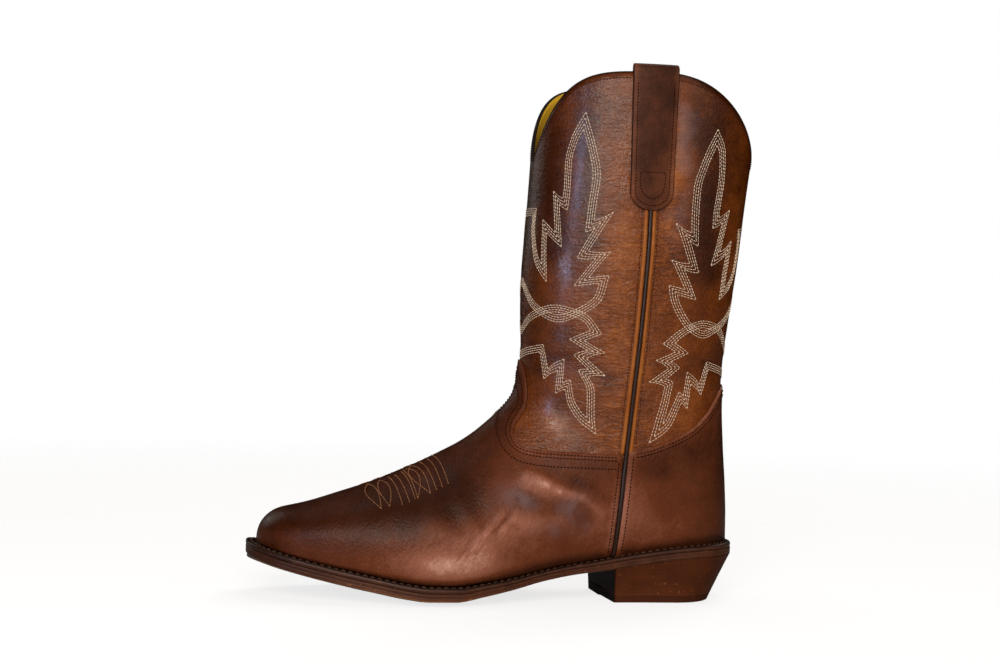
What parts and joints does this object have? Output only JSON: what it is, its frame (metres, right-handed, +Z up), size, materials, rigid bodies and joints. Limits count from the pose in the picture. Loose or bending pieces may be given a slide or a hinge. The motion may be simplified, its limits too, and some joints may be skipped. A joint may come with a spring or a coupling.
{
  "type": "western boot",
  "caption": "Pull-on leather western boot for the left foot, with a scalloped shaft, pull straps, welted sole and stacked heel",
  "frame": {"origin": "on the floor under the middle of the boot's bounding box", "axes": "+Z up the shaft; the toe points to -X and the heel to +X; the outer side of the foot is -Y"},
  "size_m": [0.309, 0.1048, 0.3275],
  "materials": {
    "upper": "smooth cognac leather with cream embroidery",
    "vamp": "dark red-brown oiled leather, burnished at the toe",
    "counter": "dark red-brown oiled leather",
    "binding": "black leather binding",
    "piping": "near-black leather piping",
    "strap": "dark brown leather, stitched",
    "insole": "natural leather board",
    "welt": "dark stained leather, stitched",
    "outsole": "stained leather, worn at its lower edge",
    "heel": "stacked leather, stained and lightly scuffed",
    "lift": "dark brown rubber"
  },
  "bodies": {
    "root": {"upper": "upper", "vamp": "vamp", "counter": "counter", "top_binding": "binding", "side_piping_outer": "piping", "side_piping_inner": "piping", "pull_strap_outer": "strap", "pull_strap_inner": "strap", "insole": "insole", "welt": "welt", "outsole": "outsole", "heel_stack": "heel", "heel_top_lift": "lift"}
  },
  "joints": []
}
